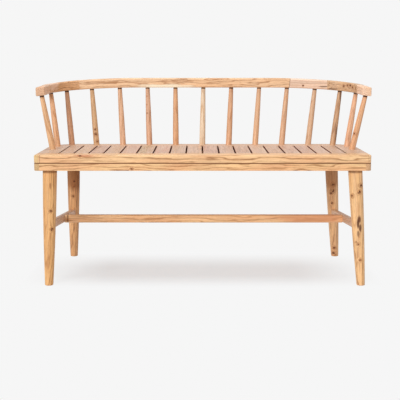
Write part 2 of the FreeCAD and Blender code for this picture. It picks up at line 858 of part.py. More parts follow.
def in_strip(side):
    """The screw holes of the left (-1) or right (1) end strip."""
    near_end = half_width - size("apron_strip_width")
    return [hole for hole, (x, y) in zip(screw_holes, screw_places()) if side * x > near_end]


back_row = [name for name in spindle_names if "back" in name or "corner" in name]

frame_board(
    "seat_rail_front",
    box("front_plank", "dims.seat_width", "dims.front_rail_width", "dims.top_thickness",
        "-dims.half_width", "-dims.half_depth", "dims.top_underside"),
    top_outline, [front_groove] + on_side(-1))
frame_board(
    "seat_rail_back",
    box("back_plank", "dims.seat_width", "dims.back_rail_width", "dims.top_thickness",
        "-dims.half_width", "dims.slat_back_y", "dims.top_underside"),
    top_outline, [back_groove] + on_side(1) + spindle_sockets(back_row, True))

for side, side_name in ((-1, "left"), (1, "right")):
    if side > 0:
        plank_x = "dims.slat_field_half"
        tongue_x = "dims.slat_field_half"
    else:
        plank_x = "-dims.half_width"
        tongue_x = "dims.groove_end_wall + dims.socket_end_clearance - dims.half_width"
    plank = box(f"end_plank_{side_name}", "dims.end_board_width", "dims.slat_length",
                "dims.top_thickness", plank_x, "dims.slat_front_y", "dims.top_underside")
    tongue = box(f"end_tongue_{side_name}",
                 "dims.end_board_width - dims.groove_end_wall - dims.socket_end_clearance",
                 "dims.slat_length + 2 * dims.tongue_length", "dims.tongue_thickness",
                 tongue_x, "dims.slat_front_y - dims.tongue_length",
                 "dims.top_underside + dims.tongue_rise")
    side_spindles = [name for name in spindle_names if side_name in name and "corner" not in name]
    frame_board(f"seat_end_board_{side_name}", fuse(f"end_blank_{side_name}", [plank, tongue]),
                top_outline, in_strip(side) + spindle_sockets(side_spindles, True))

frame_board(
    "apron_front",
    box("apron_front_plank", "dims.seat_width - 2 * dims.apron_strip_width",
        "dims.apron_board_width", "dims.apron_thickness",
        "dims.apron_strip_width - dims.half_width", "-dims.half_depth",
        "dims.apron_underside"),
    apron_outline,
    [leg_sockets["leg_front_left"], leg_sockets["leg_front_right"]] + on_side(-1))
frame_board(
    "apron_back",
    box("apron_back_plank", "dims.seat_width", "dims.apron_board_width", "dims.apron_thickness",
        "-dims.half_width", "dims.half_depth - dims.apron_board_width",
        "dims.apron_underside"),
    apron_outline,
    [leg_sockets["leg_back_left"], leg_sockets["leg_back_right"]] + on_side(1))
for side, side_name in ((-1, "left"), (1, "right")):
    strip_x = "-dims.half_width" if side < 0 else "dims.half_width - dims.apron_strip_width"
    frame_board(
        f"apron_{side_name}",
        box(f"apron_{side_name}_plank", "dims.apron_strip_width",
            "dims.seat_depth - dims.apron_board_width", "dims.apron_thickness",
            strip_x, "-dims.half_depth", "dims.apron_underside"),
        apron_outline, in_strip(side))


# Slats, each a board with a tongue at both ends

def make_slat(label, width, x):
    """A slat: width is the sheet's name for its width, x is the place of its middle."""
    half_slat = size(width) / 2
    half_length = size("slat_length") / 2
    body = doc.addObject("PartDesign::Body", label + "_body")
    plan = sketch_on(body, "XY_Plane", label + "_plan")
    centred_rectangle(plan, half_slat, half_length, "dims." + width, "dims.slat_length")
    board = pad(body, plan, label + "_plank", "dims.top_thickness")
    round_edges(body, label + "_rounding", board,
                lambda edge: spans(edge)[1] > half_length, "dims.slat_edge_round")
    tongue_plan = sketch_on(body, "XY_Plane", label + "_tongue_plan")
    bind(tongue_plan, AttachmentOffset__Base__z="dims.tongue_rise")
    centred_rectangle(tongue_plan, half_slat, half_length + size("tongue_length"),
                      "dims." + width, "dims.slat_length + 2 * dims.tongue_length")
    body.Tip = pad(body, tongue_plan, label + "_tongue", "dims.tongue_thickness")
    bind(body, Placement__Base__y="dims.slat_middle_y", Placement__Base__z="dims.top_underside")
    body.Placement.Base.x = x
    return keep(body, label)


slat_widths = (["narrow_slat_width"] * NARROW_SLATS_EACH_SIDE + ["wide_slat_width"] * WIDE_SLATS
               + ["narrow_slat_width"] * NARROW_SLATS_EACH_SIDE)
slat_edge_x = -size("slat_field_half")
for slat_number, slat_width in enumerate(slat_widths, start=1):
    slat_start_x = slat_edge_x + size("slat_gap")
    slat_edge_x = slat_start_x + size(slat_width)
    make_slat(f"slat_{slat_number:02d}", slat_width, (slat_start_x + slat_edge_x) / 2)


# Rail segments, sawn from the rounded bow at its glued joints

arm_joint_y = size("arm_joint_y")
back_joint_x = size("back_joint_x")
top_corner_x = size("top_corner_x")


def region(name, x0, x1, y0, y1):
    """A tall block over one stretch of the rail in plan, with x from the rail's own middle."""
    block = doc.addObject("Part::Box", name)
    block.Length = x1 - x0
    block.Width = y1 - y0
    block.Height = size("rail_top_z")
    block.Placement.Base = vector(x0 + size("rail_shift_right"), y0, size("seat_height"))
    return block


def slanted_region(name):
    """Everything to the left of the back rail's slanting joint."""
    block = region(name, -REACH, 0, 0, REACH)
    joint_z = size("rail_top_z") - size("rail_height") / 2
    joint_plane = FreeCAD.Placement(
        vector(back_joint_x + size("rail_shift_right"), 0, joint_z),
        FreeCAD.Rotation(vector(0, 1, 0), size("rail_back_joint_slant")))
    shift = FreeCAD.Placement(vector(-REACH, 0, -size("rail_top_z") / 2), FreeCAD.Rotation())
    block.Placement = joint_plane.multiply(shift)
    return block


def dowel_pair(name, x, y, direction, joint_drop, radius, spare):
    """Two level dowels across a joint, or their holes where spare lengthens them.

    x is measured from the rail's own middle.
    """
    middle_z = size("rail_top_z") - joint_drop - size("dowel_drop")
    axis = vector(*direction, 0)
    sideways = vector(-direction[1], direction[0], 0)
    half = axis * (size("dowel_length") / 2 + spare)
    pair = []
    for side in (-1, 1):
        centre = (vector(x + size("rail_shift_right"), y, middle_z)
                  + sideways * (side * size("dowel_spread") / 2))
        pair.append(rod(f"{name}_{side + 2}", radius, centre - half, centre + half))
    return pair


def arm_top_fall():
    """How far the rail's top lies below its highest point at the arm joints."""
    slope = math.radians(size("rail_top_slope"))
    back = size("rail_back_y") - arm_joint_y
    return back * math.tan(slope) + crown_drop(size("rail_half_span"))


joints = {
    "back": (back_joint_x, size("rail_back_y"), (1, 0), crown_drop(back_joint_x)),
    "corner_left": (-top_corner_x, size("rail_back_y"), (1, 0), crown_drop(top_corner_x)),
    "corner_right": (top_corner_x, size("rail_back_y"), (1, 0), crown_drop(top_corner_x)),
    "arm_left": (-size("rail_half_span"), arm_joint_y, (0, 1), arm_top_fall()),
    "arm_right": (size("rail_half_span"), arm_joint_y, (0, 1), arm_top_fall()),
}
dowels = []
dowel_holes = {}
for joint, (x, y, direction, drop) in joints.items():
    dowels += dowel_pair(f"dowel_{joint}", x, y, direction, drop, "dims.dowel_diameter / 2", 0.0)
    dowel_holes[joint] = dowel_pair(f"dowel_hole_{joint}", x, y, direction, drop,
                                    "dims.dowel_diameter / 2 + dims.socket_clearance",
                                    size("socket_end_clearance"))
keep(group("dowel_set", dowels), "rail_joint_dowels")

rail_drilled = cut("rail_drilled", rail_round,
                   fuse("rail_sockets", spindle_sockets(spindle_names, False)))
left_of_joint = slanted_region("left_of_joint")
back_stretch = common("back_stretch", rail_drilled,
                      region("back_zone", -top_corner_x, top_corner_x, 0, REACH))


def rail_segment(label, blank, joint_names):
    """One length of the drilled rail with the dowel holes of its joints."""
    holes = []
    for joint in joint_names:
        holes += dowel_holes[joint]
    keep(cut(label + "_segment", blank, fuse(label + "_holes", holes)), label)


rail_segment("rail_back_long", common("back_long_blank", back_stretch, left_of_joint),
             ["back", "corner_left"])
rail_segment("rail_back_short", cut("back_short_blank", back_stretch, left_of_joint),
             ["back", "corner_right"])

for side, side_name in ((-1, "left"), (1, "right")):
    corner_x = sorted((side * top_corner_x, side * REACH))
    arm_x = sorted((0.0, side * REACH))
    corner_zone = region(f"corner_zone_{side_name}", *corner_x, arm_joint_y, REACH)
    arm_zone = region(f"arm_zone_{side_name}", *arm_x, -REACH, arm_joint_y)
    rail_segment(f"rail_corner_{side_name}",
                 common(f"corner_blank_{side_name}", rail_drilled, corner_zone),
                 [f"corner_{side_name}", f"arm_{side_name}"])
    rail_segment(f"rail_arm_{side_name}",
                 common(f"arm_blank_{side_name}", rail_drilled, arm_zone),
                 [f"arm_{side_name}"])


# Check everything, then write one file for each sub-part

doc.recompute()
for thing in doc.Objects:
    for word in ("Invalid", "Error"):
        if word in thing.State:
            raise RuntimeError(f"{thing.Name} ({thing.Label}) is {thing.State}")

os.makedirs("parts", exist_ok=True)
for thing in kept:
    shape = thing.Shape
    if shape.isNull() or not shape.isValid() or not shape.Solids:
        raise RuntimeError(f"{thing.Label} has no valid solid")
    shape.exportStep(f"parts/{thing.Label}.step")
    print(f"{thing.Label}: {len(shape.Solids)} solid(s), {shape.Volume / 1000:.1f} cm3")

whole = Part.makeCompound([thing.Shape for thing in kept])
limits = whole.optimalBoundingBox()
print(f"{len(kept)} sub-parts")
print(f"overall {limits.XLength:.1f} x {limits.YLength:.1f} x {limits.ZLength:.1f} mm")
print(f"X {limits.XMin:.1f} to {limits.XMax:.1f}, Y {limits.YMin:.1f} to {limits.YMax:.1f}, "
      f"Z {limits.ZMin:.1f} to {limits.ZMax:.1f}")
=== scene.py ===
# %% [markdown]
# # A spindle-back bench in oiled hardwood
# The bench is a joiner's piece: boards, turned spindles and turned legs, each cut from its own plank.
# The solids come from the CAD model and are kept as they are. What Blender adds is the wood: growth
# rings that run through each piece in its own direction, knots, dark glue lines, painted shade where
# parts meet and a satin oil finish, under plain soft light.

# %% Load the frame
import math
import random

import bmesh
import bpy
from mathutils import Matrix, Vector


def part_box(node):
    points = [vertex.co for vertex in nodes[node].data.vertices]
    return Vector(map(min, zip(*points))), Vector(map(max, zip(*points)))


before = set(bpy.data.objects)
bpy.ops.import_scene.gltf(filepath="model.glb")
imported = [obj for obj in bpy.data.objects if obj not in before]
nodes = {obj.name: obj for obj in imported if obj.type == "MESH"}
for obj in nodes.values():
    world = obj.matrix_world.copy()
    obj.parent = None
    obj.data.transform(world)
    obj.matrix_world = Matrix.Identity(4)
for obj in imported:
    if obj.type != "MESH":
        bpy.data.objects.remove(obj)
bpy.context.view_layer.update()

# %% [markdown]
# Sizes are written in millimetres and colours as the hex values that a paint chart would give.
# Blender works in metres and in linear light, so one small function turns each of them.

# %% Units and colours
MM = 0.001


def linear(hex_colour):
    """An sRGB hex colour as linear red, green, blue and a full alpha."""
    channels = [int(hex_colour[i:i + 2], 16) / 255 for i in (1, 3, 5)]
    turned = [c / 12.92 if c <= 0.04045 else ((c + 0.055) / 1.055) ** 2.4 for c in channels]
    return (*turned, 1.0)


# %% [markdown]
# A material is a graph of nodes. Adding a node, setting its values and linking its inputs is the
# same three steps every time, so one helper does all of it and the recipes below stay readable.

# %% One helper for every node
def add(tree, kind, settings=None, **inputs):
    """A new node: settings are its options, inputs are values or sockets by input name.

    An input named in_0, in_1 and so on is taken by its place instead of by its name.
    """
    node = tree.nodes.new("ShaderNode" + kind)
    for option, value in (settings or {}).items():
        setattr(node, option, value)
    for name, value in inputs.items():
        key = int(name[3:]) if name.startswith("in_") else name.replace("_", " ")
        socket = node.inputs[key]
        if isinstance(value, bpy.types.NodeSocket):
            tree.links.new(value, socket)
        else:
            socket.default_value = value
    return node


# %% [markdown]
# Wood is a solid pattern, not a skin. A tree lays down a ring each year around its pith, and a
# board shows whatever its saw cuts open: long lines on a face that runs along the trunk, ovals
# and cathedrals where it runs out of it, and arcs on the sawn end. So every piece gets a frame
# of its own with X along the grain, and the rings are circles about a pith line that lies some
# way outside the piece. One field of rings then gives faces and end grain that agree.

# %% The grain frame of a piece
def end_centres(name, axis):
    """The middles of a piece's two ends along one axis, read from its vertices."""
    points = [v.co for v in nodes[name].data.vertices]
    low = min(p[axis] for p in points)
    high = max(p[axis] for p in points)
    ends = []
    for limit in (low, high):
        near = [p for p in points if abs(p[axis] - limit) < 1.5 * MM]
        ends.append(sum(near, Vector()) / len(near))
    return ends


def grain_frame(start, along, upright=Vector((0, 0, 1))):
    """The turn of a frame whose X runs along the grain."""
    x_axis = along.normalized()
    if abs(x_axis.dot(upright)) > 0.9:
        upright = Vector((0, 1, 0))
    y_axis = upright.cross(x_axis).normalized()
    z_axis = x_axis.cross(y_axis)
    turn = Matrix((x_axis, y_axis, z_axis)).transposed()
    return start, turn.to_euler()


print("the long stretcher runs from", [round(v, 3) for v in end_centres("long_stretcher", 0)[0]])

# %% [markdown]
# A knot is a branch that the trunk grew round. Its heart is dark brown, and the rings of the
# trunk bend about it. So each knot gives two fields: a narrow one that darkens the heart and a
# wide one that pushes the rings outwards, which draws them as a swirl.

# %% Knots
KNOT_HEART = "#54290f"
KNOT_HALO = "#a2602f"
# These four are in radii of the knot
SWIRL_REACH = 5.0
RAGGEDNESS = 6.5
HEART_FULL = 3.3
HEART_GONE = 5.2


def largest(tree, fields):
    """The largest of several fields."""
    result = fields[0]
    for field in fields[1:]:
        result = add(tree, "Math", {"operation": "MAXIMUM"}, in_0=result,
                     in_1=field).outputs["Value"]
    return result


def knot_fields(tree, place, knots):
    """How near a point is to a knot, and to its dark heart, as two values from 0 to 1.

    Each knot is (x, y, z, radius) in millimetres in the bench's own frame.
    """
    # Bark and cracks make the outline ragged, in features 5 mm across
    ragged = add(tree, "TexNoise", Vector=place, Scale=1 / (5 * MM), Detail=2.0)
    swirls, hearts = [], []
    for x, y, z, radius in knots:
        away = add(tree, "VectorMath", {"operation": "DISTANCE"}, in_0=place,
                   in_1=(x * MM, y * MM, z * MM)).outputs["Value"]
        edge = add(tree, "Math", {"operation": "MULTIPLY_ADD"}, in_0=ragged.outputs["Fac"],
                   in_1=RAGGEDNESS * radius * MM, in_2=away).outputs["Value"]
        swirls.append(add(tree, "MapRange", {"interpolation_type": "SMOOTHERSTEP"}, Value=away,
                          From_Min=0.0, From_Max=SWIRL_REACH * radius * MM, To_Min=1.0,
                          To_Max=0.0).outputs["Result"])
        hearts.append(add(tree, "MapRange", {"interpolation_type": "SMOOTHSTEP"}, Value=edge,
                          From_Min=HEART_FULL * radius * MM,
                          From_Max=HEART_GONE * radius * MM, To_Min=1.0,
                          To_Max=0.0).outputs["Result"])
    return largest(tree, swirls), largest(tree, hearts)


# %% [markdown]
# Some things cross the grain: a pale strip of sapwood, a dark streak, the line of glue at a joint, and
# painted shade, a dark colour put where two parts meet or where the seat shades the back legs. A patch
# is a soft ellipsoid in the bench's frame, and a seam is a thin sheet along a plane. Both only change
# the colour.

# %% Patches and seams
def paint_patches(tree, place, colour, waver, patches):
    """Mix soft ellipsoids over a colour.

    Each patch is (centre, radii, colour, share), with centre and radii in millimetres.
    """
    for centre, radii, tint, share in patches:
        shifted = add(tree, "VectorMath", {"operation": "SUBTRACT"}, in_0=place,
                      in_1=[c * MM for c in centre]).outputs["Vector"]
        scaled = add(tree, "VectorMath", {"operation": "DIVIDE"}, in_0=shifted,
                     in_1=[r * MM for r in radii]).outputs["Vector"]
        away = add(tree, "VectorMath", {"operation": "LENGTH"}, in_0=scaled).outputs["Value"]
        ragged = add(tree, "Math", {"operation": "MULTIPLY_ADD"}, in_0=waver, in_1=1.2,
                     in_2=away).outputs["Value"]
        inside = add(tree, "MapRange", {"interpolation_type": "SMOOTHSTEP"}, Value=ragged,
                     From_Min=1.1, From_Max=1.7, To_Min=share, To_Max=0.0).outputs["Result"]
        colour = add(tree, "Mix", {"data_type": "RGBA"}, Factor=inside, A=colour,
                     B=linear(tint)).outputs["Result"]
    return colour


def paint_seams(tree, place, colour, seams):
    """Mix thin sheets of a dark colour over a colour.

    Each seam is (normal, offset, half_width, colour, share), in millimetres.
    """
    for normal, offset, half_width, tint, share in seams:
        along = add(tree, "VectorMath", {"operation": "DOT_PRODUCT"}, in_0=place,
                    in_1=normal).outputs["Value"]
        away = add(tree, "Math", {"operation": "SUBTRACT"}, in_0=along,
                   in_1=offset * MM).outputs["Value"]
        apart = add(tree, "Math", {"operation": "ABSOLUTE"}, in_0=away).outputs["Value"]
        inside = add(tree, "MapRange", {"interpolation_type": "SMOOTHSTEP"}, Value=apart,
                     From_Min=0.6 * half_width * MM, From_Max=1.1 * half_width * MM,
                     To_Min=share, To_Max=0.0).outputs["Result"]
        colour = add(tree, "Mix", {"data_type": "RGBA"}, Factor=inside, A=colour,
                     B=linear(tint)).outputs["Result"]
    return colour


# %% [markdown]
# The timber is a warm honey-brown hardwood of the elm and teak kind, planed, sanded and oiled.
# Its rings are 3 to 10 mm apart, with a brown line where each year's growth ends, strong in some years
# and faint in others. Its pores are short dark dashes about 0.4 mm wide, drawn 0.9 mm wide here because
# finer ones would be lost. The oil leaves a satin surface: an IOR of 1.5 and a roughness near 0.5,
# which rises towards 0.9 in the darkest knots, stains and painted shade.

# %% Noise that is stretched along the grain
def grain_noise(tree, space, length, width, detail=2.0, roughness=0.5):
    """Noise whose features are length by width millimetres, along and across the grain."""
    scale = (1 / (length * MM), 1 / (width * MM), 1 / (width * MM))
    stretched = add(tree, "VectorMath", {"operation": "MULTIPLY"}, in_0=space,
                    in_1=scale).outputs["Vector"]
    return add(tree, "TexNoise", Vector=stretched, Scale=1.0, Detail=detail,
               Roughness=roughness).outputs["Fac"]


# %% The oiled hardwood
PORE = "#8a5a38"
# Painted shade: the dark brown of the band under the part above a piece
PAINTED_SHADE_BROWN = "#3f200d"
# How far the rings stray in long bends and in short ones, in millimetres
LONG_BENDS = 26
SHORT_BENDS = 5
# How far a knot pushes the rings, in rings
KNOT_PUSH = 2.5


def oiled_hardwood(name, grain, base, line, seed, ring=5.0, pith=(70, 45), wave=1.0, figure=0.8,
                   pale=None, knots=(), patches=(), seams=(), stain_from=None):
    """One piece's own timber.

    base and line are the colours of early and late growth, and pale is base's colour where the
    heartwood lightens. ring is the ring spacing and pith the pith's place beside the piece, in
    millimetres. wave scales how far the rings wander, and figure how dark their lines are.
    The last argument is the length along the grain, in millimetres, past which the wood is painted dark
    brown: painted shade for the shadow under the part above it.
    """
    material = bpy.data.materials.new(name)
    material.use_nodes = True
    tree = material.node_tree
    tree.nodes.clear()
    origin, turn = grain
    chance = random.Random(seed)
    here = add(tree, "TexCoord").outputs["Object"]
    board = add(tree, "Mapping", {"vector_type": "TEXTURE"}, Vector=here, Location=origin,
                Rotation=turn).outputs["Vector"]
    # Each piece reads its own part of the noise
    sample = add(tree, "VectorMath", {"operation": "ADD"}, in_0=board,
                 in_1=[chance.uniform(-40, 40) for _ in range(3)]).outputs["Vector"]
    wander = grain_noise(tree, sample, 240, 32)
    ripple = grain_noise(tree, sample, 60, 8, roughness=0.55)

    # Rings: distance from the pith line, bent by the wander, the ripple and the knots
    from_pith = add(tree, "VectorMath", {"operation": "SUBTRACT"}, in_0=board,
                    in_1=(0.0, pith[0] * MM, pith[1] * MM)).outputs["Vector"]
    across = add(tree, "VectorMath", {"operation": "MULTIPLY"}, in_0=from_pith,
                 in_1=(0.0, 1.0, 1.0)).outputs["Vector"]
    distance = add(tree, "VectorMath", {"operation": "LENGTH"}, in_0=across).outputs["Value"]
    distance = add(tree, "Math", {"operation": "MULTIPLY_ADD"}, in_0=wander,
                   in_1=LONG_BENDS * wave * MM, in_2=distance).outputs["Value"]
    distance = add(tree, "Math", {"operation": "MULTIPLY_ADD"}, in_0=ripple,
                   in_1=SHORT_BENDS * wave * MM, in_2=distance).outputs["Value"]
    if knots:
        swirl, heart = knot_fields(tree, here, knots)
        distance = add(tree, "Math", {"operation": "MULTIPLY_ADD"}, in_0=swirl,
                       in_1=KNOT_PUSH * ring * MM, in_2=distance).outputs["Value"]
    years = add(tree, "Math", {"operation": "DIVIDE"}, in_0=distance,
                in_1=ring * MM).outputs["Value"]
    season = add(tree, "Math", {"operation": "FRACT"}, in_0=years).outputs["Value"]
    year = add(tree, "Math", {"operation": "FLOOR"}, in_0=years).outputs["Value"]

    # A year starts pale, deepens slowly and ends in a narrow brown line
    late = add(tree, "ValToRGB", Fac=season)
    stops = late.color_ramp.elements
    stops[0].color = (0.25, 0.25, 0.25, 1)
    stops[1].color = (0.25, 0.25, 0.25, 1)
    for position, grey in ((0.12, 0.02), (0.62, 0.06), (0.78, 0.70), (0.85, 1.0), (0.93, 0.9)):
        stops.new(position).color = (grey, grey, grey, 1)
    # Years differ, from 45 % to 100 % of the full line
    luck = add(tree, "TexWhiteNoise", {"noise_dimensions": "1D"}, W=year).outputs["Value"]
    depth = add(tree, "MapRange", Value=luck, To_Min=0.45 * figure,
                To_Max=figure).outputs["Result"]
    if knots:
        depth = add(tree, "Math", {"operation": "MULTIPLY_ADD"}, in_0=swirl, in_1=0.8,
                    in_2=depth).outputs["Value"]
    strength = add(tree, "Math", {"operation": "MULTIPLY", "use_clamp": True},
                   in_0=late.outputs["Color"], in_1=depth).outputs["Value"]

    # Colour: lighter heartwood, rings, fibre streaks, pores, then what crosses the grain
    lighter = add(tree, "MapRange", Value=grain_noise(tree, sample, 170, 30), From_Min=0.40,
                  From_Max=0.62).outputs["Result"]
    colour = add(tree, "Mix", {"data_type": "RGBA"}, Factor=lighter, A=linear(base),
                 B=linear(pale or base)).outputs["Result"]
    colour = add(tree, "Mix", {"data_type": "RGBA"}, Factor=strength, A=colour,
                 B=linear(line)).outputs["Result"]
    fibre = grain_noise(tree, sample, 110, 3.2, 3.0, 0.6)
    streaky = add(tree, "MapRange", Value=fibre, From_Min=0.3, From_Max=0.7, To_Min=0.80,
                  To_Max=1.16).outputs["Result"]
    colour = add(tree, "VectorMath", {"operation": "SCALE"}, in_0=colour,
                 Scale=streaky).outputs["Vector"]
    pore = add(tree, "MapRange", Value=grain_noise(tree, sample, 16, 0.9, 1.0), From_Min=0.56,
               From_Max=0.74, To_Max=0.4).outputs["Result"]
    colour = add(tree, "Mix", {"data_type": "RGBA"}, Factor=pore, A=colour,
                 B=linear(PORE)).outputs["Result"]
    colour = paint_patches(tree, here, colour, ripple, patches)
    if knots:
        halo = add(tree, "Math", {"operation": "MULTIPLY"}, in_0=swirl, in_1=0.5)
        colour = add(tree, "Mix", {"data_type": "RGBA"}, Factor=halo.outputs["Value"],
                     A=colour, B=linear(KNOT_HALO)).outputs["Result"]
        colour = add(tree, "Mix", {"data_type": "RGBA"}, Factor=heart, A=colour,
                     B=linear(KNOT_HEART)).outputs["Result"]
    colour = paint_seams(tree, here, colour, seams)
    # Painted shade: past the given length along the grain the wood is painted dark brown, for the
    # shadow under the part above
    if stain_from is not None:
        length = add(tree, "SeparateXYZ", Vector=board).outputs["X"]
        painted_band = add(tree, "MapRange", {"interpolation_type": "SMOOTHSTEP"}, Value=length,
                      From_Min=(stain_from - 0.7) * MM, From_Max=(stain_from + 0.7) * MM,
                      To_Max=0.95).outputs["Result"]
        colour = add(tree, "Mix", {"data_type": "RGBA"}, Factor=painted_band, A=colour,
                     B=linear(PAINTED_SHADE_BROWN)).outputs["Result"]

    # Oil builds no film in dark pores, knots and the dark painted shade, which stay dull
    tone = add(tree, "RGBToBW", Color=colour).outputs["Val"]
    rough = add(tree, "MapRange", Value=tone, From_Min=0.02, From_Max=0.35, To_Min=0.90,
                To_Max=0.48).outputs["Result"]
    height = add(tree, "Math", {"operation": "MULTIPLY_ADD"}, in_0=pore, in_1=-1.5,
                 in_2=fibre).outputs["Value"]
    bump = add(tree, "Bump", Strength=0.25, Distance=0.15 * MM, Height=height)
    shader = add(tree, "BsdfPrincipled", Base_Color=colour, Roughness=rough, IOR=1.5,
                 Normal=bump.outputs["Normal"])
    tree.links.new(shader.outputs["BSDF"], add(tree, "OutputMaterial").inputs["Surface"])
    return material


def dress(name, grain, base, line, seed, **look):
    """Give a piece its own timber in every slot that it has."""
    mesh = nodes[name].data
    mesh.materials.clear()
    mesh.materials.append(oiled_hardwood(name + "_oiled_hardwood", grain, base, line, seed,
                                         **look))


# %% [markdown]
# The front rail and the front apron board are the faces that one sees first. Both run the whole length
# of the bench, with their grain in long, low waves, because the rings lie at a slant to their front
# faces. Where the two layers meet, their rounded edges leave a groove 5 mm wide, and its shade is
# painted into the wood as a dark brown line.

# %% Seat frame and apron
X, Y, Z = Vector((1, 0, 0)), Vector((0, 1, 0)), Vector((0, 0, 1))
GROOVE_SHADE_BROWN = "#7d4a26"
DARK_LINE = "#6e4426"
layer_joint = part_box("apron_front")[1].z / MM
# Painted shade: a dark brown line along the groove where the two layers meet
groove = [(Z, layer_joint, 2.4, GROOVE_SHADE_BROWN, 0.85)]
print(f"the layers meet {layer_joint:.0f} mm above the floor")

long_boards = {
    "seat_rail_front": dict(base="#fbcd98", line="#9c602c", pale="#f1bb88", ring=8.0,
                            pith=(45, -52), wave=1.1, figure=0.9,
                            knots=[(-420, -215, 449, 2.8)],
                            patches=[((-405, -215, 448), (38, 20, 5), "#b9643a", 0.6),
                                     ((-573, -209, 436), (12, 30, 30), "#dcbb80", 0.7)],
                            seams=[(X, -559.0, 1.2, DARK_LINE, 0.5),
                                   (X, 569.0, 1.0, DARK_LINE, 0.3)]),
    "seat_rail_back": dict(base="#deb592", line="#b98860", pale="#d9ae8d", ring=5.5,
                           pith=(40, -70), figure=0.6),
    "apron_front": dict(base="#facb92", line="#9c602c", pale="#f2b884", ring=8.0,
                        pith=(50, 44), wave=1.3, figure=0.85,
                        knots=[(-243, -215, 403, 2.4)]),
    "apron_back": dict(base="#deb28a", line="#b98558", pale="#d8a67c", ring=5.0,
                       pith=(35, 60), figure=0.65),
}
for number, (name, look) in enumerate(long_boards.items()):
    low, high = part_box(name)
    look["seams"] = look.get("seams", []) + groove
    dress(name, grain_frame((low + high) / 2, X), seed=10 + number, **look)

cross_boards = {
    "seat_end_board_left": dict(base="#cdaa90", line="#ac8467", pale="#d6b49a"),
    "seat_end_board_right": dict(base="#cfa98c", line="#ac8465", pale="#d6b196"),
    "apron_left": dict(base="#d9b27c", line="#a8825a", pale="#cfa673"),
    "apron_right": dict(base="#dcae80", line="#bb8a5f", pale="#d6a77a"),
}
for number, (name, look) in enumerate(cross_boards.items()):
    low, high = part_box(name)
    dress(name, grain_frame((low + high) / 2, Y), seed=30 + number, ring=4.5, pith=(50, -50),
          figure=0.6, seams=groove, **look)
print("dressed", len(long_boards) + len(cross_boards), "frame boards")

# %% [markdown]
# The slats are short boards from many planks, so no two match: some are pinkish, some sandy, some a
# little grey. Their grain runs front to back, and the pith's place is drawn anew for each, which makes
# some flat-sawn and some quarter-sawn. Their sides are painted dark red-brown as painted shade, so the
# gaps between them read as dark red-brown lines.

# %% Slats
GAP_SHADE_RED_BROWN = "#6a2208"
slat_tones = [
    ("#cfa88a", "#a57b5b"), ("#d6b090", "#ae8461"), ("#c9a088", "#a17860"),
    ("#d2ab8b", "#ac805d"), ("#d4aa90", "#b08367"), ("#c7a583", "#a37f5c"),
    ("#d4a58c", "#af7f64"), ("#cdab90", "#aa8266"), ("#d6ad8d", "#b18561"),
    ("#cda28b", "#a97d65"), ("#d1ac92", "#ae876a"), ("#cba287", "#a57a5e"),
    ("#d9b496", "#b48c69"), ("#cea588", "#aa7f5e"), ("#d2a88f", "#af8265"),
    ("#cda68f", "#a97f68"), ("#d8b295", "#b48b68"), ("#d0a98b", "#ab815f"),
]
slat_names = sorted(name for name in nodes if name.startswith("slat_"))
for number, (name, (base, line)) in enumerate(zip(slat_names, slat_tones)):
    low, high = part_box(name)
    chance = random.Random(200 + number)
    pith = (chance.uniform(-60, 60), chance.choice((-1, 1)) * chance.uniform(25, 80))
    # Painted shade: the slats' sides are painted dark red-brown for the shade in the gaps
    sides = [(X, edge / MM, 0.8, GAP_SHADE_RED_BROWN, 0.9) for edge in (low.x, high.x)]
    dress(name, grain_frame((low + high) / 2, Y), base, line, 60 + number, pale="#d6b29a",
          ring=chance.uniform(4.5, 6.5), pith=pith, figure=0.65, seams=sides,
          knots=[(288, -30, 450, 2.5)] if name == "slat_14" else ())
print("dressed", len(slat_names), "slats")

# %% [markdown]
# Each spindle is turned from a billet split along its grain, so the rings run straight up it. Their
# tones differ: the third from the left is red-brown, the middle one straw-coloured. Just under the rail
# each is painted dark brown for about 6 mm, as painted shade for the rail's shadow.

# %% Spindles
# Painted shade: each spindle is painted dark brown for this height just under the rail, for the rail's
# shadow
SHADE_BAND_HEIGHT = 6.0
TOP_TENON = 21.0
STREAK = "#6b4a34"
spindles = {
    "spindle_left_arm": dict(base="#ecbb8b", line="#b87c4d"),
    "spindle_left_side": dict(base="#e3ad80", line="#b67a4c"),
    "spindle_left_corner": dict(base="#d19d77", line="#99674a"),
    "spindle_back_1": dict(base="#dab083", line="#aa7747",
                           knots=[(-413, 184, 509, 2.4), (-411, 181, 490, 3.0),
                                  (-404, 177, 463, 2.4)]),
    "spindle_back_2": dict(base="#e4b692", line="#bb8659"),
    "spindle_back_3": dict(base="#ddae8d", line="#b67f5a",
                           knots=[(-213, 210, 635, 1.2), (-214, 204, 603, 1.0),
                                  (-213, 198, 570, 1.2)]),
    "spindle_back_4": dict(base="#dca77a", line="#bd7f52"),
    "spindle_back_5": dict(base="#ebd1b2", line="#cfa274"),
    "spindle_back_6": dict(base="#dba982", line="#bd8156"),
    "spindle_back_7": dict(base="#e2b58e", line="#bd8459"),
    "spindle_back_8": dict(base="#daad88", line="#c1885c"),
    "spindle_back_9": dict(base="#d9b28f", line="#bb8760"),
    "spindle_right_corner": dict(base="#c69c75", line="#93684c", patches=[
        ((531, 203, 640), (3.5, 14, 38), STREAK, 0.8),
        ((515, 176, 490), (4.5, 14, 42), STREAK, 0.7)]),
    "spindle_right_side": dict(base="#e6b18a", line="#bf8660"),
    "spindle_right_arm": dict(base="#e8b184", line="#bd7f50", knots=[(552, -9, 508, 2.6)]),
}
for number, (name, look) in enumerate(spindles.items()):
    foot, head = end_centres(name, 2)
    length = (head - foot).length / MM
    chance = random.Random(300 + number)
    pith = (chance.uniform(-18, 18), chance.uniform(8, 22))
    dress(name, grain_frame(foot, head - foot), seed=90 + number, ring=chance.uniform(3.2, 4.6),
          pith=pith, wave=0.35, figure=0.8, stain_from=length - TOP_TENON - SHADE_BAND_HEIGHT, **look)
print("dressed", len(spindles), "spindles")
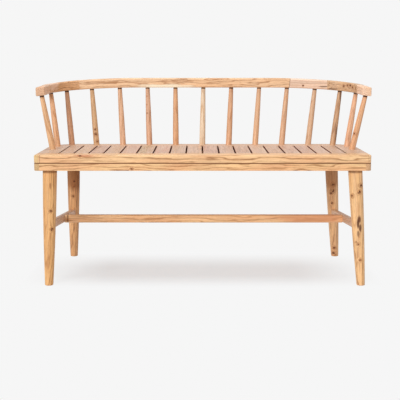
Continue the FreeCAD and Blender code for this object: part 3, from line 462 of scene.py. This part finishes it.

# %% [markdown]
# The legs are turned from thick billets, which rarely come without knots. The right front one has a
# dark crack halfway up and a cluster of small knots near its top; the right back one has a cluster
# above the stretcher and another at its foot. The crack is only a change of colour, made of four
# patches so that its outline is broken. The top 10 mm of each leg, just under the apron, is painted
# dark brown as painted shade, and the upper part of each back leg is painted darker as the seat's
# painted shadow.

# %% Legs
CRACK = "#55260f"
leg_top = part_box("apron_front")[0].z / MM
# Painted shade: the top of each leg, just under the apron, is painted dark brown
leg_top_shade = [(Z, leg_top - 3, 8.0, "#6b3d1c", 0.6)]
legs = {
    "leg_front_left": dict(base="#f2bc7c", line="#a8682f", pale="#e4ab6c", knots=[
        (-524, -220, 257, 2.8), (-520, -226, 194, 3.0)],
        patches=[((-525, -209, 343), (4, 10, 14), "#9c6236", 0.7)]),
    "leg_front_right": dict(base="#f5c48c", line="#a6683a", pale="#f0bd83", knots=[
        (548, -204, 344, 3.4), (542, -211, 322, 3.2), (517, -206, 308, 2.8),
        (537, -235, 144, 2.4), (545, -242, 89, 2.6), (530, -233, 150, 1.6)],
        patches=[((541, -226, 229), (6.5, 18, 17), CRACK, 0.9),
                 ((537, -227, 213), (5.5, 18, 17), CRACK, 0.9),
                 ((544, -229, 199), (6, 16, 16), CRACK, 0.85),
                 ((538, -231, 180), (5, 14, 12), CRACK, 0.7)]),
    "leg_back_left": dict(base="#e8b078", line="#8a522b", pale="#d89f6a", knots=[
        (-496, 167, 310, 2.6), (-495, 170, 290, 2.6), (-503, 177, 250, 2.6)],
        # Painted shadow: this wide patch darkens the leg's upper part under the seat
        patches=[((-500, 170, 330), (60, 60, 75), "#8a4f1c", 0.8)]),
    "leg_back_right": dict(base="#f8c58e", line="#955a32", pale="#e8b482", knots=[
        (508, 169, 295, 3.8), (507, 173, 271, 4.0), (500, 176, 262, 3.0),
        (506, 182, 222, 2.4), (523, 217, 36, 3.2), (521, 222, 14, 4.0), (528, 225, 8, 3.0)],
        # Painted shadow: this wide patch darkens the leg's upper part under the seat
        patches=[((500, 170, 330), (60, 60, 65), "#a0602c", 0.65)]),
}
for number, (name, look) in enumerate(legs.items()):
    foot, head = end_centres(name, 2)
    dress(name, grain_frame(foot, head - foot), seed=120 + number, ring=5.2, pith=(16, 30),
          wave=0.7, figure=0.9, seams=leg_top_shade, **look)
print("dressed", len(legs), "legs")

# %% [markdown]
# The stretchers are square bars with their edges eased by a few passes of the plane. The long
# one is honey-coloured in its middle and turns redder towards its right.

# %% Stretchers
left_end, right_end = end_centres("long_stretcher", 0)
dress("long_stretcher", grain_frame(left_end, right_end - left_end), "#f3c390", "#ab6c38", 140,
      ring=7.0, pith=(38, 30), wave=1.1, figure=0.85, pale="#ebb381",
      patches=[((400, 0, 195), (150, 40, 40), "#d48d60", 0.6),
               ((-497, -10, 197), (3, 20, 30), DARK_LINE, 0.8),
               ((-508, -10, 195), (8, 20, 20), "#e6bf93", 0.7)])
for number, side in enumerate(("left", "right")):
    name = f"side_stretcher_{side}"
    front, back = end_centres(name, 1)
    dress(name, grain_frame(front, back - front), "#e6bb97", "#ae7f5c", 150 + number, ring=4.5,
          pith=(20, 35), wave=0.8, figure=0.7, pale="#d8ab8d")
print("dressed 3 stretchers")

# %% [markdown]
# The rail is glued up from six lengths. The straight ones have the grain along them. The corners
# are sawn to their curve from a wide board, so the grain keeps its own straight line and runs out
# of the curve at a slant. Each glue joint shows as a thin dark line, and the one right of the
# middle slants, because its two lengths are scarfed. Its line is painted along the same slant as
# the cut in the CAD model.

# %% Rail
short_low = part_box("rail_back_short")[0].x / MM
long_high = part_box("rail_back_long")[1].x / MM
slant = math.radians(7.0)
rail_middle = 686.0
across_slant = Vector((math.cos(slant), 0, -math.sin(slant)))
slant_offset = across_slant.dot(Vector(((short_low + long_high) / 2, 0, rail_middle)))
scarf = [(across_slant, slant_offset, 1.1, DARK_LINE, 0.8)]
arm_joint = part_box("rail_arm_left")[1].y / MM
arm_seam = [(Y, arm_joint, 1.2, DARK_LINE, 0.7)]
print(f"the scarf joint is {slant_offset:.0f} mm along its own normal")

rails = {
    "rail_back_long": (X + 0.012 * Z, dict(
        base="#f3c699", line="#9d5f2b", pale="#f4cba1", ring=9.5, pith=(-52, 38), wave=2.0,
        seams=scarf, patches=[((-145, 208, 670), (120, 40, 12), "#fff0d2", 0.95),
                              ((-350, 208, 688), (95, 40, 3.2), "#a86f3c", 0.6),
                              ((-60, 208, 694), (90, 40, 2.4), "#b07643", 0.5)])),
    "rail_back_short": (X - 0.03 * Z, dict(
        base="#efcdb2", line="#c48c64", pale="#f2d3bb", ring=7.5, pith=(-40, 50), wave=0.9, figure=0.55,
        seams=scarf, knots=[(388, 208, 675, 1.8)],
        patches=[((470, 208, 671), (24, 40, 3.2), STREAK, 0.8)])),
    "rail_corner_left": (X + Y + 0.2 * Z, dict(
        base="#d6a06d", line="#8f5a32", pale="#dcaa7c", ring=7.0, pith=(-30, 60), wave=1.2,
        seams=arm_seam, patches=[((-566, 140, 680), (24, 60, 30), "#efc8ac", 0.8)])),
    "rail_corner_right": (X - Y - 0.25 * Z, dict(
        base="#d4a97d", line="#7a4c2e", pale="#dcb48c", ring=6.5, pith=(-30, 60), wave=1.5,
        seams=arm_seam, knots=[(541, 186, 675, 2.0), (553, 173, 677, 2.0),
                               (562, 161, 677, 2.4), (568, 147, 670, 2.6),
                               (574, 114, 667, 2.6)],
        patches=[((503, 206, 663), (18, 30, 3.5), STREAK, 0.7)])),
    "rail_arm_left": (Y, dict(base="#eac19b", line="#b07a55", pale="#e6b792", ring=5.5,
                              pith=(-14, 24), wave=0.8, seams=arm_seam)),
    "rail_arm_right": (Y, dict(base="#fad0ac", line="#cf9670", pale="#fbd6b8", ring=5.5,
                               pith=(12, 28), wave=0.8, seams=arm_seam)),
}
for number, (name, (along, look)) in enumerate(rails.items()):
    low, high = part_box(name)
    dress(name, grain_frame((low + high) / 2, along), seed=170 + number, **look)
dress("rail_joint_dowels", grain_frame(Vector(), X), "#dcc09a", "#c8a67c", 190, ring=2.5,
      pith=(10, 10), wave=0.3, figure=0.3)
print("dressed", len(rails), "rail lengths and their dowels")

# %% [markdown]
# The screws under the apron are zinc-plated steel: a dull bluish white metal, with the faint
# blotches that plating leaves. Their heads sit flush in the wood, and show only from below.

# %% Zinc-plated steel
plated = bpy.data.materials.new("zinc_plated_steel")
plated.use_nodes = True
steel_tree = plated.node_tree
steel_tree.nodes.clear()
steel_place = add(steel_tree, "TexCoord").outputs["Object"]
# Blotches 2 mm across
blotches = add(steel_tree, "TexNoise", Vector=steel_place, Scale=1 / (2 * MM), Detail=2.0)
steel_rough = add(steel_tree, "MapRange", Value=blotches.outputs["Fac"], To_Min=0.30,
                  To_Max=0.55).outputs["Result"]
steel_colour = add(steel_tree, "Mix", {"data_type": "RGBA"}, Factor=blotches.outputs["Fac"],
                   A=linear("#b9bcc0"), B=linear("#9a9ea6")).outputs["Result"]
steel_shader = add(steel_tree, "BsdfPrincipled", Base_Color=steel_colour, Metallic=1.0,
                   Roughness=steel_rough)
steel_tree.links.new(steel_shader.outputs["BSDF"],
                     add(steel_tree, "OutputMaterial").inputs["Surface"])
nodes["apron_screws"].data.materials.clear()
nodes["apron_screws"].data.materials.append(plated)
print("dressed the screws")

# %% [markdown]
# The stage is a pale floor that fades into a background of the same tone, as on a sheet of seamless
# paper. The lit paper is as bright as that tone, so what darkens it is the bench's own shadow. In full
# that shadow is wider and darker than in the photograph, where it looks retouched. So the camera sees
# about half of it, inside soft edges that were set from the photograph, and a plain tone around them,
# so no horizon shows.

# %% Floor and background
PAPER = "#f6f6f6"
FLOOR_HALF = 30.0
floor_shape = bmesh.new()
bmesh.ops.create_grid(floor_shape, x_segments=1, y_segments=1, size=FLOOR_HALF)
floor_mesh = bpy.data.meshes.new("paper_floor")
floor_shape.to_mesh(floor_mesh)
floor_shape.free()
paper_floor = bpy.data.objects.new("paper_floor", floor_mesh)
bpy.context.scene.collection.objects.link(paper_floor)

floor_look = bpy.data.materials.new("seamless_paper")
floor_look.use_nodes = True
floor_tree = floor_look.node_tree
floor_tree.nodes.clear()
floor_place = add(floor_tree, "TexCoord").outputs["Object"]
floor_axes = add(floor_tree, "SeparateXYZ", Vector=floor_place)
sideways = add(floor_tree, "Math", {"operation": "ABSOLUTE"},
               in_0=floor_axes.outputs["X"]).outputs["Value"]
# Full shadow up to the first distance from the bench's middle, none from the second on
SHADOW_SIDE, SHADOW_BACK, SHADOW_FRONT = (0.35, 0.64), (0.045, 0.275), (-0.105, -0.275)
by_side = add(floor_tree, "MapRange", Value=sideways, From_Min=SHADOW_SIDE[0],
              From_Max=SHADOW_SIDE[1], To_Min=1.0, To_Max=0.0).outputs["Result"]
to_back = add(floor_tree, "MapRange", Value=floor_axes.outputs["Y"], From_Min=SHADOW_BACK[0],
              From_Max=SHADOW_BACK[1], To_Min=1.0, To_Max=0.0).outputs["Result"]
to_front = add(floor_tree, "MapRange", Value=floor_axes.outputs["Y"],
               From_Min=SHADOW_FRONT[0], From_Max=SHADOW_FRONT[1], To_Min=1.0,
               To_Max=0.0).outputs["Result"]
FLOOR_SHARE = 0.53
within = add(floor_tree, "Math", {"operation": "MULTIPLY"}, in_0=to_back, in_1=to_front)
within = add(floor_tree, "Math", {"operation": "MULTIPLY"}, in_0=within.outputs["Value"],
             in_1=by_side)
real_share = add(floor_tree, "Math", {"operation": "MULTIPLY"}, in_0=within.outputs["Value"],
                 in_1=FLOOR_SHARE).outputs["Value"]
plain_share = add(floor_tree, "Math", {"operation": "SUBTRACT"}, in_0=1.0,
                  in_1=real_share).outputs["Value"]


def seen_rays(tree):
    """1 for the rays that show a thing: the camera's, mirrored ones and those through glass."""
    path = add(tree, "LightPath")
    return largest(tree, [path.outputs[kind] for kind in ("Is Camera Ray", "Is Glossy Ray",
                                                          "Is Transmission Ray")])


plain_seen = add(floor_tree, "Math", {"operation": "MULTIPLY"}, in_0=plain_share,
                 in_1=seen_rays(floor_tree)).outputs["Value"]
paper_lit = add(floor_tree, "BsdfDiffuse", Color=linear("#f8fafd")).outputs["BSDF"]
paper_plain = add(floor_tree, "Emission", Color=linear(PAPER), Strength=1.0).outputs["Emission"]
paper_mix = add(floor_tree, "MixShader", in_0=plain_seen, in_1=paper_lit, in_2=paper_plain)
floor_tree.links.new(paper_mix.outputs["Shader"],
                     add(floor_tree, "OutputMaterial").inputs["Surface"])
floor_mesh.materials.append(floor_look)
print("laid a floor", 2 * FLOOR_HALF, "m wide")

# %% [markdown]
# The light is a photo studio's: a bright room all round, a large soft box overhead that gives
# the shadow under the seat, and a broad light to the left of the camera. That one is a sun lamp,
# so it is equally strong along the whole bench. It is low enough to reach under the seat, and it
# models the legs and spindles, which are darker on their right.

# %% World and lamps
ROOM = 0.50
world = bpy.data.worlds.new("studio")
bpy.context.scene.world = world
world.use_nodes = True
sky = world.node_tree
sky.nodes.clear()
room = add(sky, "Background", Color=linear("#ffffff"), Strength=ROOM).outputs["Background"]
backdrop = add(sky, "Background", Color=linear(PAPER), Strength=1.0).outputs["Background"]
sky_mix = add(sky, "MixShader", in_0=seen_rays(sky), in_1=room, in_2=backdrop)
sky.links.new(sky_mix.outputs["Shader"], add(sky, "OutputWorld").inputs["Surface"])


def lamp_at(name, kind, place, target, energy, **options):
    """A lamp of one kind that faces a point."""
    lamp = bpy.data.lights.new(name, kind)
    lamp.energy = energy
    for option, value in options.items():
        setattr(lamp, option, value)
    holder = bpy.data.objects.new(name, lamp)
    holder.location = place
    holder.rotation_euler = (Vector(target) - Vector(place)).to_track_quat("-Z", "Y").to_euler()
    bpy.context.scene.collection.objects.link(holder)
    print(f"{name}: {kind.lower()} lamp, energy {energy}")


lamp_at("overhead_box", "AREA", (0.0, 0.1, 2.6), (0, 0, 0.3), 22, shape="RECTANGLE", size=1.8,
        size_y=1.0)
lamp_at("left_front_light", "SUN", (-2.2, -4.0, 2.1), (0, 0, 0.4), 1.5,
        angle=math.radians(30))

# %% [markdown]
# The camera stands in front of the bench, a little above the seat, and looks slightly down. Its
# place and lens were worked out from the seat's edges, the gaps between the slats and the feet.

# %% Camera
lens = bpy.data.cameras.new("front_view")
lens.sensor_width = 36.0
lens.lens = 81.22
camera = bpy.data.objects.new("front_view", lens)
camera.location = (-0.0089, -3.2928, 0.7692)
camera.rotation_euler = (math.radians(90 - 8.76), 0.0, 0.0)
bpy.context.scene.collection.objects.link(camera)
bpy.context.scene.camera = camera
bpy.context.scene.view_settings.view_transform = "Standard"
